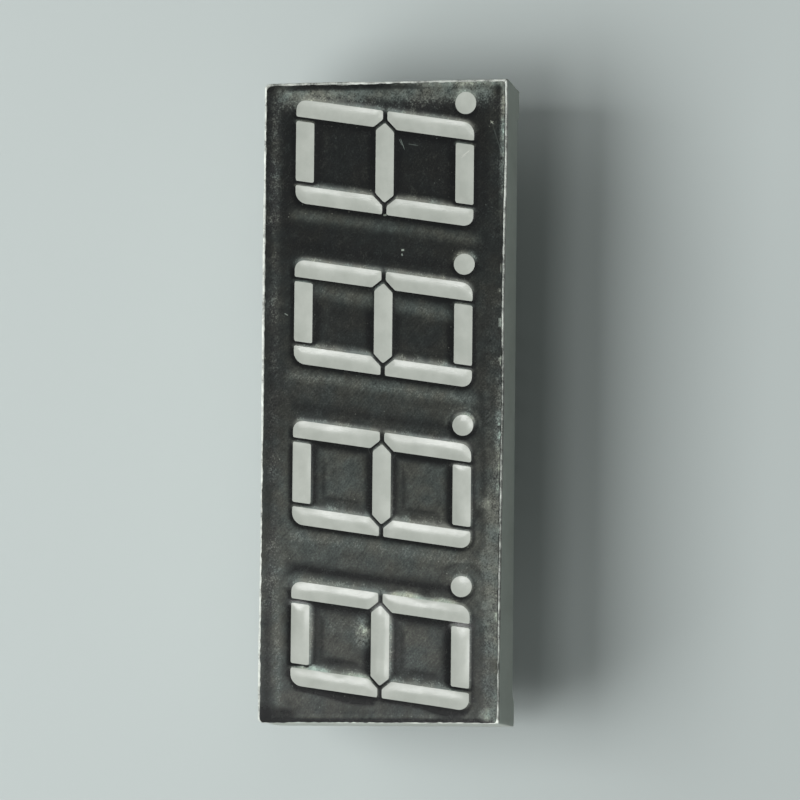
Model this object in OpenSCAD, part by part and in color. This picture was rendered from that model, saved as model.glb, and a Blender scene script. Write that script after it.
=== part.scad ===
// Four-digit seven segment display module with through-hole pins.
// Origin: centre of the pin pattern, in the plane the stand-off feet seat on.
// +X runs along the digits from left to right, +Y to their tops, +Z out of the face.

/* [Body] */
// How much shorter the body is than four digit pitches
body_trim = 0.2; // [0:0.05:0.9]
// Width of the body
body_w = 19.25; // [19:0.05:24]
// Height from the feet to the face
body_h = 8; // [6.6:0.1:12]
// Radius of the body's upright corners
corner_r = 0.4; // [0.1:0.05:0.8]
// Thickness of the side walls
wall = 0.9; // [0.6:0.05:1.1]
// Thickness of the skin between the digits' wells and the hollows behind the face
skin = 1.2; // [0.8:0.1:2]

/* [Feet] */
// Height of the end feet, below the long walls' back edge
foot_h = 0.9; // [0.3:0.1:1.2]
// Length of each foot along the long wall
foot_l = 1.85; // [1:0.05:5]
// Length of the slope from a foot to the wall's back edge
foot_slope = 0.7; // [0.3:0.05:2]

/* [Digits] */
// Distance between neighbouring digits
digit_pitch = 12.7; // [12.4:0.1:15.4]
// Height of a digit
digit_h = 14.2; // [11.8:0.1:14.6]
// Width of a digit, measured square to its slant
digit_w = 8.22; // [7.4:0.01:9.2]
// Lean of the digits
slant = 8; // [0:0.5:10]
// Offset of the row of digits along the body
digits_x = -0.14; // [-0.3:0.01:0.3]
// Offset of the row of digits across the body
digits_y = -0.07; // [-0.3:0.01:0.3]
// Thickness of the level segments
bar_t = 1.45; // [1.2:0.05:1.7]
// Thickness of the upright segments
post_t = 1.39; // [1.2:0.01:1.7]
// Gap between the ends of neighbouring segments
seg_gap = 0.35; // [0.25:0.05:0.5]
// Gap along the mitred ends beside the middle segment
mitre_gap = 0.3; // [0.2:0.05:0.45]
// Length of the point at each end of the middle segment
mitre_run = 0.67; // [0.5:0.01:0.8]
// Radius of a digit's four outer corners
outer_r = 0.85; // [0.3:0.05:1.1]
// Radius of every other segment corner
small_r = 0.1; // [0.05:0.01:0.15]
// Diameter of the decimal point
dot_d = 1.7; // [1.3:0.05:1.8]
// Distance of the decimal point's middle outside the digit's half width
dot_out = 0.52; // [0.4:0.01:0.8]
// How far the decimal point reaches below the digit
dot_drop = 0.135; // [0:0.005:0.3]

/* [Wells] */
// Depth of the straight part of each well, below the face
well_land = 0.6; // [0.3:0.1:1.5]
// Size of a segment well's opening at the board, as a share of its size at the face
well_taper = 0.5; // [0.46:0.02:0.8]
// Diameter of the decimal point's well at the board
dot_window_d = 1.4; // [1.3:0.05:1.5]
// Distance of the segments' faces below the printed face
lens_drop = 0.1; // [0.02:0.01:0.11]

/* [Face] */
// Thickness of the black layer on the face
mask_t = 0.15; // [0.12:0.01:0.2]
// Width of the bare edge round the black layer
mask_margin = 0.2; // [0.1:0.05:0.5]

/* [Circuit board] */
// Thickness of the board
board_t = 1; // [0.8:0.1:1.6]
// Height of the board's back face above the seating plane
board_z = 2; // [1.9:0.1:2.4]
// Gap between the board's edge and the walls
board_gap = 0.2; // [0.1:0.05:0.4]
// Gap between the board and the inside of the housing
seat_gap = 0.05; // [0.04:0.01:0.1]
// Thickness of the copper
copper_t = 0.035; // [0.02:0.005:0.035]
// Width of a copper track
track_w = 0.2; // [0.1:0.05:0.3]
// Depth of the potting's surface below the long walls' back edge
potting_drop = 0.2; // [0.1:0.05:0.4]

/* [Light emitting dies] */
// Side of a die
die_w = 0.3; // [0.2:0.02:0.34]
// Height of a die
die_h = 0.2; // [0.12:0.01:0.25]
// Distance of a die from the middle of its well
die_offset = 0.35; // [0.3:0.05:0.4]
// Side of the copper pads under the dies and the wires
pad_w = 0.4; // [0.36:0.02:0.44]
// Thickness of a bond wire
wire_t = 0.03; // [0.02:0.005:0.05]
// Height of a bond wire's loop above its die
wire_loop = 0.2; // [0.1:0.05:0.4]

/* [Pins] */
// Diameter of a pin
pin_d = 0.5; // [0.4:0.05:0.55]
// Side of a pin's square shank, from the walls' back edge up through the board
shank_w = 0.52; // [0.44:0.02:0.52]
// Length of a pin below the seating plane
pin_l = 6.4; // [3:0.1:12]
// Length of a pin's tapered tip
pin_tip = 0.3; // [0.1:0.05:0.5]
// Distance between neighbouring pins
pin_pitch = 2.54; // [2:0.01:3.1]
// Distance between the two rows of pins
row_pitch = 15.24; // [14.9:0.01:15.3]
// Diameter of the holes for the pins
pin_hole_d = 0.8; // [0.75:0.05:0.9]
// Diameter of the copper land round a pin
land_d = 1.2; // [1.1:0.05:1.3]
// Width of a land's rim outside its solder
land_rim = 0.05; // [0:0.01:0.08]
// Height of the solder fillet round a pin
solder_h = 0.55; // [0.3:0.05:0.6]

/* [Hidden] */
$fn = 64;

digits = [1, 2, 3, 4];
letters = ["a", "b", "c", "d", "e", "f", "g"];
pins_in_row = 6;
body_l = len(digits) * digit_pitch - body_trim;
pin_count = 2 * pins_in_row;

// Levels, from the back to the face.
rim_z = foot_h;
potting_z = rim_z + potting_drop;
board_top = board_z + board_t;
floor_z = board_top + seat_gap;
face_z = body_h - mask_t;
lens_z = body_h - lens_drop;

// Half sizes of a digit, before it leans.
half_h = digit_h / 2;
half_w = digit_w / 2;
post_in = half_w - post_t;
post_mid = half_w - post_t / 2;
bar_half = post_in - seg_gap;
mitre_slope = mitre_run / (bar_t / 2);
mitre_shift = mitre_gap * sqrt(1 + mitre_slope * mitre_slope);
post_cut = post_mid + mitre_slope * seg_gap / 2;
middle_tip = post_cut - mitre_shift;
dot_x = half_w + dot_out;
dot_y = dot_d / 2 - half_h - dot_drop;

// Vias, and the far ends of the bond wires, from the middle of each well.
via_r = 0.12;
via_land_r = 0.2;
bond_near = 0.6;
bond_far = 1.1;
dot_bond = 0.35;

// Where a wire bends over, as a share of its reach.
wire_shoulder = 0.3;

// Flats in the small and large corner arcs of an outline, and angle between a fillet's points.
arc_steps_small = 2;
arc_steps_large = 8;
fillet_step = 15;

eps = 0.01;

// ---------------------------------------------------------------- helpers

function leaned(p) = [p.x + p.y * tan(slant), p.y];

// Middle of digit d on the body.
function digit_centre(d) = [(d - 2.5) * digit_pitch + digits_x, digits_y];

// Pin i stands in the lower row for 1 to 6, left to right, then in the upper row, right to left.
function pin_place(i) =
    let (k = i <= pins_in_row ? i : pin_count + 1 - i)
    [(k - (pins_in_row + 1) / 2) * pin_pitch, (i <= pins_in_row ? -1 : 1) * row_pitch / 2];

// One corner of an outline as an arc of radius r that touches both of its sides.
function corner_arc(before, at, after, r) =
    let (
        u = (before - at) / norm(before - at),
        v = (after - at) / norm(after - at),
        half = acos(u * v) / 2,
        middle = at + (u + v) / norm(u + v) * r / sin(half),
        first = at + u * r / tan(half) - middle,
        turn = 180 - 2 * half,
        side = sign(u.y * v.x - u.x * v.y),
        steps = r > 2 * small_r ? arc_steps_large : arc_steps_small
    )
    [for (k = [0 : steps])
        let (q = side * turn * k / steps)
        middle + [first.x * cos(q) - first.y * sin(q), first.x * sin(q) + first.y * cos(q)]];

// An outline given as corners [x, y, radius], with each corner rounded.
function rounded(corners) =
    let (n = len(corners))
    [for (i = [0 : n - 1]) each corner_arc(
        [corners[(i + n - 1) % n].x, corners[(i + n - 1) % n].y],
        [corners[i].x, corners[i].y],
        [corners[(i + 1) % n].x, corners[(i + 1) % n].y],
        corners[i].z)];

// Corners of the three kinds of segment: top bar, upper right post and middle bar.
bar_corners = [
    [-bar_half, half_h - bar_t, small_r], [bar_half, half_h - bar_t, small_r],
    [bar_half, half_h, small_r], [-bar_half, half_h, small_r]
];
post_corners = [
    [post_in, (post_cut - post_in) / mitre_slope, small_r],
    [post_cut - mitre_slope * seg_gap / 2, seg_gap / 2, small_r],
    [half_w, seg_gap / 2, small_r],
    [half_w, half_h, outer_r],
    [post_in, half_h, small_r]
];
middle_corners = [
    [-middle_tip, 0, small_r], [mitre_run - middle_tip, -bar_t / 2, small_r],
    [middle_tip - mitre_run, -bar_t / 2, small_r], [middle_tip, 0, small_r],
    [middle_tip - mitre_run, bar_t / 2, small_r], [mitre_run - middle_tip, bar_t / 2, small_r]
];

function flipped(points, sx, sy) = [for (p = points) [p.x * sx, p.y * sy]];

// Outline of a segment before it leans.
function upright_outline(s) =
    s == "a" ? rounded(bar_corners) :
    s == "d" ? flipped(rounded(bar_corners), 1, -1) :
    s == "b" ? rounded(post_corners) :
    s == "c" ? flipped(rounded(post_corners), 1, -1) :
    s == "e" ? flipped(rounded(post_corners), -1, -1) :
    s == "f" ? flipped(rounded(post_corners), -1, 1) :
    rounded(middle_corners);

// Middle of a segment before it leans.
function upright_middle(s) =
    s == "a" ? [0, half_h - bar_t / 2] :
    s == "d" ? [0, bar_t / 2 - half_h] :
    s == "g" ? [0, 0] :
    [(s == "b" || s == "c" ? 1 : -1) * post_mid, (s == "b" || s == "f" ? 1 : -1) * (half_h + seg_gap / 2) / 2];

// Unit direction of a segment's wire, from its die to its bond pad, before it leans.
function wire_way(s) =
    s == "b" || s == "f" ? [0, 1] :
    s == "a" || s == "d" || s == "g" ? [1, 0] : [0, -1];

// Place of the middle of a segment or dot in its digit.
function seg_middle(s) = s == "dot" ? [dot_x, dot_y] : leaned(upright_middle(s));

// Direction of a wire in its leaning digit. The dot does not lean.
function seg_way(s) =
    let (w = s == "dot" ? wire_way(s) : leaned(wire_way(s)))
    w / norm(w);

// Posts on the left bond further out, so that each letter's bus has a level of its own.
function bond_reach(s) = s == "dot" ? dot_bond : s == "e" || s == "f" ? bond_far : bond_near;

function die_place(s) = seg_middle(s) - seg_way(s) * die_offset;
function bond_place(s) = seg_middle(s) + seg_way(s) * bond_reach(s);

all_marks = concat(letters, ["dot"]);

// The filled shape of a well: straight at the face, then tapering to a window over its die.
module well(s, top) {
    land_z = face_z - well_land;
    middle = seg_middle(s);
    if (s == "dot") {
        translate([middle.x, middle.y, land_z])
            cylinder(d = dot_d, h = top - land_z);
        translate([middle.x, middle.y, board_top])
            cylinder(d1 = dot_window_d, d2 = dot_d, h = land_z - board_top);
    } else {
        outline = [for (p = upright_outline(s)) leaned(p) - middle];
        translate([middle.x, middle.y, land_z])
            linear_extrude(height = top - land_z)
                polygon(outline);
        translate([middle.x, middle.y, land_z])
            mirror([0, 0, 1])
                linear_extrude(height = land_z - board_top, scale = well_taper)
                    polygon(outline);
    }
}

module at_digit(d) {
    translate([digit_centre(d).x, digit_centre(d).y, 0]) children();
}

// A flat block with round upright corners.
module rounded_block(l, w, h, r) {
    linear_extrude(height = h)
        union() {
            square([l - 2 * r, w], center = true);
            square([l, w - 2 * r], center = true);
            for (x = [-1, 1], y = [-1, 1])
                translate([x * (l / 2 - r), y * (w / 2 - r)]) circle(r = r);
        }
}

// ---------------------------------------------------------------- housing

// Hollow of the moulding inside one loop of a digit, leaned as the digit is.
module loop_core(sign_y) {
    x = post_in - skin;
    y_near = bar_t / 2 + skin;
    y_far = half_h - bar_t - skin;
    translate([0, 0, floor_z - eps])
        linear_extrude(height = face_z - skin - floor_z + eps)
            polygon([for (p = [[-x, y_near], [x, y_near], [x, y_far], [-x, y_far]])
                leaned([p.x, sign_y * p.y])]);
}

// The long walls' back edge stands in from the feet, with a slope at each end.
module foot_gap() {
    run = body_l / 2 - foot_l;
    translate([0, body_w / 2 + eps, 0])
        rotate([90, 0, 0])
            linear_extrude(height = body_w + 2 * eps)
                polygon([[-run, -eps], [run, -eps], [run - foot_slope, foot_h], [foot_slope - run, foot_h]]);
}

module housing() {
    color([0.85, 0.86, 0.82])
        difference() {
            rounded_block(body_l, body_w, face_z, corner_r);
            translate([0, 0, -eps])
                linear_extrude(height = floor_z + eps)
                    square([body_l - 2 * wall, body_w - 2 * wall], center = true);
            foot_gap();
            for (d = digits)
                at_digit(d) {
                    for (s = all_marks) well(s, face_z + eps);
                    loop_core(1);
                    loop_core(-1);
                }
        }
}

// ---------------------------------------------------------------- face and segments

module face_mask() {
    color([0.05, 0.055, 0.06])
        difference() {
            translate([0, 0, face_z])
                rounded_block(body_l - 2 * mask_margin, body_w - 2 * mask_margin, mask_t, corner_r / 2);
            for (d = digits)
                at_digit(d)
                    for (s = all_marks)
                        translate([0, 0, face_z - eps])
                            linear_extrude(height = mask_t + 2 * eps)
                                if (s == "dot") {
                                    translate([dot_x, dot_y]) circle(d = dot_d);
                                } else {
                                    polygon([for (p = upright_outline(s)) leaned(p)]);
                                }
        }
}

// Cast resin in one well, shaped round its die, wire and pads.
module segment(d, s) {
    color([0.80, 0.82, 0.78])
        at_digit(d)
            difference() {
                well(s, lens_z);
                die(s);
                bond_wire(s);
                top_copper();
            }
}

// ---------------------------------------------------------------- dies and wires

module die(s) {
    translate([die_place(s).x, die_place(s).y, board_top + copper_t])
        linear_extrude(height = die_h)
            square(die_w, center = true);
}

// A flat strip that rises from the die, bends over and comes down to its pad.
module bond_wire(s) {
    pad_z = board_top + copper_t;
    die_top = pad_z + die_h;
    reach = die_offset + bond_reach(s);
    shoulder = reach * wire_shoulder;
    crest = die_top + wire_loop;
    translate([die_place(s).x, die_place(s).y, 0])
        rotate([0, 0, atan2(seg_way(s).y, seg_way(s).x)])
            translate([0, wire_t / 2, 0])
                rotate([90, 0, 0])
                    linear_extrude(height = wire_t)
                        polygon([
                            [-wire_t / 2, die_top], [wire_t / 2, die_top],
                            [wire_t / 2, crest - 2 * wire_t], [2 * wire_t, crest - wire_t],
                            [shoulder, crest - wire_t],
                            [reach - 2 * wire_t, pad_z], [reach + wire_t, pad_z],
                            [reach + wire_t, pad_z + wire_t], [reach - wire_t, pad_z + wire_t],
                            [shoulder + wire_t / 2, crest], [wire_t, crest], [-wire_t / 2, crest - wire_t]
                        ]);
}

module led_dies(d) {
    color([0.75, 0.62, 0.30])
        at_digit(d)
            for (s = all_marks) die(s);
}

module bond_wires(d) {
    color([0.88, 0.72, 0.35])
        at_digit(d)
            for (s = all_marks) bond_wire(s);
}

// ---------------------------------------------------------------- circuit board

module track(from, to) {
    way = to - from;
    translate(from)
        rotate(atan2(way.y, way.x))
            translate([0, -track_w / 2])
                square([norm(way), track_w]);
}

// Pads under the dies and wires of one digit, and the track that joins its dies.
module top_pattern() {
    ring = ["a", "b", "c", "d", "e", "f", "a"];
    for (s = all_marks) {
        translate(die_place(s)) square(pad_w, center = true);
        translate(bond_place(s)) square(pad_w, center = true);
    }
    for (i = [0 : len(ring) - 2]) track(die_place(ring[i]), die_place(ring[i + 1]));
    track(die_place("f"), die_place("g"));
    track(die_place("c"), die_place("dot"));
}

module top_copper() {
    translate([0, 0, board_top])
        linear_extrude(height = copper_t)
            top_pattern();
}

// One bus for each letter, along all four digits, on the back of the board.
module back_pattern() {
    for (s = all_marks)
        track(
            digit_centre(digits[0]) + bond_place(s) - [pad_w / 2, 0],
            digit_centre(digits[3]) + bond_place(s) + [pad_w / 2, 0]
        );
    for (d = digits, s = all_marks)
        translate(digit_centre(d) + bond_place(s)) circle(r = via_land_r);
    for (i = [1 : pin_count])
        translate(pin_place(i)) circle(d = land_d);
}

module back_copper() {
    difference() {
        translate([0, 0, board_z - copper_t])
            linear_extrude(height = copper_t)
                back_pattern();
        for (i = [1 : pin_count])
            translate([pin_place(i).x, pin_place(i).y, board_z - copper_t - eps])
                cylinder(d = pin_hole_d, h = copper_t + 2 * eps);
    }
}

module vias(bottom, top) {
    for (d = digits)
        at_digit(d)
            for (s = all_marks)
                translate([bond_place(s).x, bond_place(s).y, bottom])
                    cylinder(r = via_r, h = top - bottom);
}

module circuit_board() {
    edge = wall + board_gap;
    color([0.25, 0.42, 0.28])
        difference() {
            translate([0, 0, board_z])
                linear_extrude(height = board_t)
                    square([body_l - 2 * edge, body_w - 2 * edge], center = true);
            for (i = [1 : pin_count])
                translate([pin_place(i).x, pin_place(i).y, board_z - eps])
                    cylinder(d = pin_hole_d, h = board_t + 2 * eps);
            vias(board_z - eps, board_top + eps);
        }
}

module board_copper() {
    color([0.78, 0.50, 0.30]) {
        for (d = digits)
            at_digit(d) top_copper();
        back_copper();
        vias(board_z - eps, board_top + eps);
    }
}

// ---------------------------------------------------------------- pins, solder and potting

// The square part of every pin, from one level up to another.
module shanks(pins, bottom, top) {
    for (i = pins)
        translate([pin_place(i).x, pin_place(i).y, bottom])
            linear_extrude(height = top - bottom)
                square(shank_w, center = true);
}

module pin(i) {
    color([0.72, 0.73, 0.74])
        union() {
            shanks([i], rim_z, board_top - eps);
            translate([pin_place(i).x, pin_place(i).y, pin_tip - pin_l])
                cylinder(d = pin_d, h = rim_z + pin_l - pin_tip);
            translate([pin_place(i).x, pin_place(i).y, -pin_l])
                cylinder(d1 = pin_d / 2, d2 = pin_d, h = pin_tip);
        }
}

// Solder fills each hole round its pin and ends in a hollow fillet under the land.
module solder_joints() {
    land_z = board_z - copper_t;
    fillet_r = land_d / 2 - land_rim;
    fillet_w = fillet_r - shank_w / sqrt(2) - eps;
    color([0.66, 0.67, 0.69])
        difference() {
            for (i = [1 : pin_count])
                translate([pin_place(i).x, pin_place(i).y, 0])
                    rotate_extrude()
                        polygon([
                            [0, land_z - solder_h],
                            for (q = [0 : fillet_step : 90])
                                [fillet_r - fillet_w * cos(q), land_z - solder_h * (1 - sin(q))],
                            [pin_hole_d / 2, land_z],
                            [pin_hole_d / 2, board_top],
                            [0, board_top]
                        ]);
            shanks([1 : pin_count], rim_z, board_top + eps);
        }
}

module potting() {
    edge = wall + board_gap;
    color([0.83, 0.82, 0.74])
        difference() {
            translate([0, 0, potting_z])
                linear_extrude(height = board_top - potting_z)
                    square([body_l - 2 * wall, body_w - 2 * wall], center = true);
            translate([0, 0, board_z])
                linear_extrude(height = board_t + eps)
                    square([body_l - 2 * edge, body_w - 2 * edge], center = true);
            back_copper();
            solder_joints();
            shanks([1 : pin_count], potting_z - eps, board_z + eps);
        }
}

// ---------------------------------------------------------------- assembly

housing();
face_mask();
for (d = digits) {
    for (s = letters)
        segment(d, s);
    segment(d, "dot");
}
circuit_board();
board_copper();
for (d = digits) {
    led_dies(d);
    bond_wires(d);
}
for (i = [1 : pin_count])
    pin(i);
solder_joints();
potting();
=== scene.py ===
import math

import bpy
import numpy as np
from bpy.props import FloatProperty, FloatVectorProperty, PointerProperty
from mathutils import Matrix, Vector


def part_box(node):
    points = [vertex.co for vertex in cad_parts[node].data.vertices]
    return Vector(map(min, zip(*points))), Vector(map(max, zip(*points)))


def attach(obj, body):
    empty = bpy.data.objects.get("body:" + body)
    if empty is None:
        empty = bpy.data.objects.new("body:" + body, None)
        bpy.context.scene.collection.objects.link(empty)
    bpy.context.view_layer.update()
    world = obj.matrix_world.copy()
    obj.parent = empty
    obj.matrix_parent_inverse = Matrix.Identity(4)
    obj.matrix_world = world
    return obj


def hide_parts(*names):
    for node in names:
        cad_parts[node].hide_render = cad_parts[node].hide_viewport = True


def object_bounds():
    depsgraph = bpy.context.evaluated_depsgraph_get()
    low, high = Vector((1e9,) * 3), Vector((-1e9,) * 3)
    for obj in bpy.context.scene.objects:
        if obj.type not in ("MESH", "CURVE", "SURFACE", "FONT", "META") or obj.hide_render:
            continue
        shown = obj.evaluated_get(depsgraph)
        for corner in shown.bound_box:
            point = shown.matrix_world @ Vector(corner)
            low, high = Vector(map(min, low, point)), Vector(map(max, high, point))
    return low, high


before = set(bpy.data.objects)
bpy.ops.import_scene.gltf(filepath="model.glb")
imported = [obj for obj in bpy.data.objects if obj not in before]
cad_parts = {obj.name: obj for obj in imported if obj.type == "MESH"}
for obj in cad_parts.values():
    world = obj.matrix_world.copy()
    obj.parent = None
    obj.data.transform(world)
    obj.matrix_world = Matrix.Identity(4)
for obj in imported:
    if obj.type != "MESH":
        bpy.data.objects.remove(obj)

bl_info = {
    "name": "Seven segment display module",
    "version": (1, 0, 0),
    "blender": (4, 5, 0),
    "location": "3D View > Sidebar > Display",
    "description": "Printed film, walls, windows, potting, pins and finishes of a four digit LED display",
    "category": "Object",
}

MM = 0.001
CAD_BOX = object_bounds()

# The display's own measures in millimetres, repeated from its construction, apart from the dot's radius: its
# window is 0.02 mm smaller than the plug below it.
LEAN = math.tan(math.radians(8))
DIGITS = (1, 2, 3, 4)
BAR_HALF, BAR_T, HALF_H, HALF_W = 2.37, 1.45, 7.1, 4.11
POST_IN, POST_MID, OUTER_R = 2.72, 3.415, 0.85
MIDDLE_TIP, MITRE_RUN, SEG_GAP = 3.169, 0.67, 0.35
DOT_R, WINDOW_R = 0.83, 0.1
FOOT_L, FOOT_H, FOOT_SLOPE, WALL = 1.85, 0.9, 0.7, 0.9
CORNER_R = 0.4


def node_box(name):
    """Lowest and highest corner of a CAD node in millimetres."""
    low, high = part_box(name)
    return np.array(low) / MM, np.array(high) / MM


HOUSING = node_box("housing")
FILM = node_box("face_mask")
FACE_Z = FILM[1][2]
POTTING = node_box("potting")
PIN_R = np.ptp(np.array(node_box("pin_1"))[:, 0]) / 2
# x of the moulding's right end and y of its upper long side
END_X, SIDE_Y = HOUSING[1][:2]

# The film, in millimetres: how far a digit reaches from its middle, how far its windows are out of register
# with the plugs, the widths of the zones along its edges, how deep it may sink and how softly it stops there.
DIGIT_REACH, PRINT_SHIFT = 8.5, 0.03
FLARE_ZONE, EDGE_ZONE, CORNER_ZONE = 2.5, 1.2, 0.35
SINK_LIMIT, SINK_BEND = 0.075, 0.02
# Digit -> depth of the film over its posts as a share of the dip, its reach outside them, and its depth over
# the bars and the dot. A post's whole slope is POST_FALL wide.
SINKS = {1: (0.60, 0.27, 0.95, 0.45), 2: (0.76, 0.42, 0.70, 0.85),
         3: (0.96, 0.45, 0.50, 0.45), 4: (1.01, 0.45, 0.42, 0.4)}
POST_FALL = 1.22
# The pinches across the lowest digit's posts: x, y and lean.
PINCHES = ((-15.45, -3.6, 0.2), (-21.2, 3.5, -0.3))
# Digit -> grey added on its -x side and share of the grey taken away on its +x side as a painted shade band.
DIGIT_BANDS = {1: (0.01, 0.85), 2: (0.035, 0.6), 3: (0.05, 0.55), 4: (0.045, 0.4)}
# How far the film's underside lies above the moulding, and the level of the windows' underside.
UNDERSIDE_LIFT, WINDOW_FLOOR = 0.01, 7.901

# The walls: radii of their lower and front edges, how far the rim stands above the film's underside, and the
# clean patches of the rim's lower long side as x and width.
LOW_R, HIGH_R, RIM_UP = 0.12, 0.10, 0.09
CLEAN_PATCHES = ((-16.0, 0.3), (-19.5, 0.6), (-22.2, 0.4), (-24.2, 0.5), (-7.2, 0.4))
# Distances over which the poured resin's creep dies away from the walls and the pins.
WALL_CREEP, PIN_CREEP = 0.45, 0.22

# The stage: half width of the floor and distance of the lamps in metres, and the camera's place and aim in
# millimetres.
FLOOR_HALF, LAMP_AWAY = 6.0, 0.6
CAMERA_AT, CAMERA_AIM = (-46.7715, -106.4999, 707.0631), (0.1263, -1.4465, 8.0)


# ---------------------------------------------------------------- settings

class FilmSettings(bpy.types.PropertyGroup):
    spacing: FloatProperty(name="Spacing", description="Distance between the film's grid points",
                           default=0.13 * MM, min=0.1 * MM, max=0.5 * MM, unit="LENGTH")
    dip: FloatProperty(name="Dip", description="How far the film sinks over the windows, before their shares",
                       default=0.09 * MM, min=0.0, max=0.093 * MM, unit="LENGTH")
    ragged: FloatProperty(name="Ragged edge", description="How far the cut edge wanders",
                          default=0.022 * MM, min=0.0, max=0.15 * MM, unit="LENGTH")
    ink: FloatVectorProperty(name="Ink", description="Colour of the clean black print",
                             default=(0.006, 0.0066, 0.007), min=0.0, max=1.0, subtype="COLOR")
    # colour of the grey print, which holds dust and wear together with painted shade and painted highlights
    bloom: FloatVectorProperty(name="Bloom", description="Colour of the rubbed and dusty print",
                               default=(0.79, 1.0, 0.88), min=0.0, max=1.0, subtype="COLOR")
    warm_bloom: FloatVectorProperty(name="Warm bloom", description="Colour of its warmer patches",
                                    default=(0.93, 1.0, 0.79), min=0.0, max=1.0, subtype="COLOR")


class ResinSettings(bpy.types.PropertyGroup):
    window: FloatVectorProperty(name="Window", description="Colour of the milky segment resin",
                                default=(0.487, 0.515, 0.467), min=0.0, max=1.0, subtype="COLOR")
    window_deep: FloatVectorProperty(name="Window shade", description="Colour of its darker clouds",
                                     default=(0.422, 0.450, 0.405), min=0.0, max=1.0, subtype="COLOR")
    spacing: FloatProperty(name="Spacing", description="Mesh spacing of the poured resin's skin",
                           default=0.17 * MM, min=0.1 * MM, max=1.0 * MM, unit="LENGTH")
    creep: FloatProperty(name="Creep", description="How far the poured resin creeps down the walls",
                         default=0.28 * MM, min=0.0, max=0.6 * MM, unit="LENGTH")
    potting: FloatVectorProperty(name="Potting", description="Colour of the resin poured into the back",
                                 default=(0.50, 0.50, 0.44), min=0.0, max=1.0, subtype="COLOR")


class WallSettings(bpy.types.PropertyGroup):
    spacing: FloatProperty(name="Spacing", description="Distance between sections along the walls",
                           default=0.14 * MM, min=0.08 * MM, max=1.0 * MM, unit="LENGTH")
    plastic: FloatVectorProperty(name="Plastic", description="Colour of the moulded walls",
                                 default=(0.82, 0.87, 0.80), min=0.0, max=1.0, subtype="COLOR")
    stain: FloatVectorProperty(name="Stain", description="Colour of the grime on the walls",
                               default=(0.62, 0.66, 0.60), min=0.0, max=1.0, subtype="COLOR")


class StageSettings(bpy.types.PropertyGroup):
    key_level: FloatProperty(name="Key level", description="Radiance of the large softbox",
                             default=6.9, min=0.0, max=50.0)
    low_level: FloatProperty(name="Low level", description="Radiance of the small low softbox",
                             default=9.6, min=0.0, max=50.0)
    end_level: FloatProperty(name="End level", description="Radiance of the weak lamp beyond the lower end",
                             default=2.0, min=0.0, max=50.0)
    far_level: FloatProperty(name="Far level", description="Radiance of the weak lamp beyond the upper side",
                             default=2.3, min=0.0, max=50.0)
    air: FloatVectorProperty(name="Air", description="Light of the surroundings",
                             default=(0.13, 0.136, 0.134), min=0.0, max=1.0, subtype="COLOR")
    floor: FloatVectorProperty(name="Floor", description="Colour of the floor",
                               default=(0.50, 0.55, 0.54), min=0.0, max=1.0, subtype="COLOR")
    lens: FloatProperty(name="Lens", description="Focal length of the camera in millimetres",
                        default=405.0, min=20.0, max=800.0, unit="CAMERA")
    turn: FloatProperty(name="Turn", description="Turn of the camera about its own axis",
                        default=math.radians(-0.5588), subtype="ANGLE")


SETTING_GROUPS = {"film": FilmSettings, "resin": ResinSettings, "walls": WallSettings, "stage": StageSettings}


# ---------------------------------------------------------------- meshes from arrays

def put_mesh(name, points, faces, material, replaces=(), masks=None):
    """A finished piece from points in millimetres and an array of triangles or quads."""
    mesh = bpy.data.meshes.new(name)
    points = np.asarray(points, dtype=np.float64) * MM
    faces = np.asarray(faces, dtype=np.int32)
    sides = faces.shape[1]
    mesh.vertices.add(len(points))
    mesh.vertices.foreach_set("co", points.astype(np.float32).ravel())
    mesh.loops.add(faces.size)
    mesh.loops.foreach_set("vertex_index", faces.ravel())
    mesh.polygons.add(len(faces))
    mesh.polygons.foreach_set("loop_start", np.arange(0, faces.size, sides, dtype=np.int32))
    mesh.polygons.foreach_set("use_smooth", np.ones(len(faces), dtype=bool))
    for key, values in (masks or {}).items():
        layer = mesh.attributes.new(key, "FLOAT", "POINT")
        layer.data.foreach_set("value", np.asarray(values, dtype=np.float32))
    mesh.update(calc_edges=True)
    if mesh.validate(verbose=False):
        raise RuntimeError(f"{name} has a broken face")
    mesh.materials.append(material)
    piece = bpy.data.objects.new(name, mesh)
    bpy.context.scene.collection.objects.link(piece)
    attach(piece, "root")
    if replaces:
        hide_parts(*replaces)
    return piece


def ring_faces(rows, columns):
    """Quads of a closed ring surface: row i and i+1, column j and j+1, both wrapping round."""
    i, j = np.meshgrid(np.arange(rows), np.arange(columns), indexing="ij")
    a = i * columns + j
    b = i * columns + (j + 1) % columns
    c = ((i + 1) % rows) * columns + (j + 1) % columns
    d = ((i + 1) % rows) * columns + j
    return np.stack([a, b, c, d], -1).reshape(-1, 4)


def grid_corners(rows, columns):
    """The four corners of every cell of an open grid, in turn round the cell, and a column that says whether
    the sum of the cell's row and column is odd."""
    i, j = np.meshgrid(np.arange(rows - 1), np.arange(columns - 1), indexing="ij")
    a = (i * columns + j).ravel()
    return a, a + 1, a + columns + 1, a + columns, ((i + j) % 2 == 1).ravel()[:, None]


def weld(points, quads):
    """Joins points that coincide and splits the quads into triangles, without those that this closes up.
    Gives the points, the triangles, and which of the old points each new one is."""
    _, first, same = np.unique(np.round(points, 4), axis=0, return_index=True, return_inverse=True)
    triangles = same.ravel()[np.concatenate([quads[:, [0, 1, 2]], quads[:, [0, 2, 3]]])]
    whole = (triangles != np.roll(triangles, 1, axis=1)).all(axis=1)
    return points[first], triangles[whole], first


def ease(low, high, value):
    """0 at low and beyond, 1 at high and beyond, and the smooth cubic 3t2 - 2t3 between them; high may be the
    smaller."""
    t = np.clip((value - low) / (high - low), 0.0, 1.0)
    return t * t * (3 - 2 * t)


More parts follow.
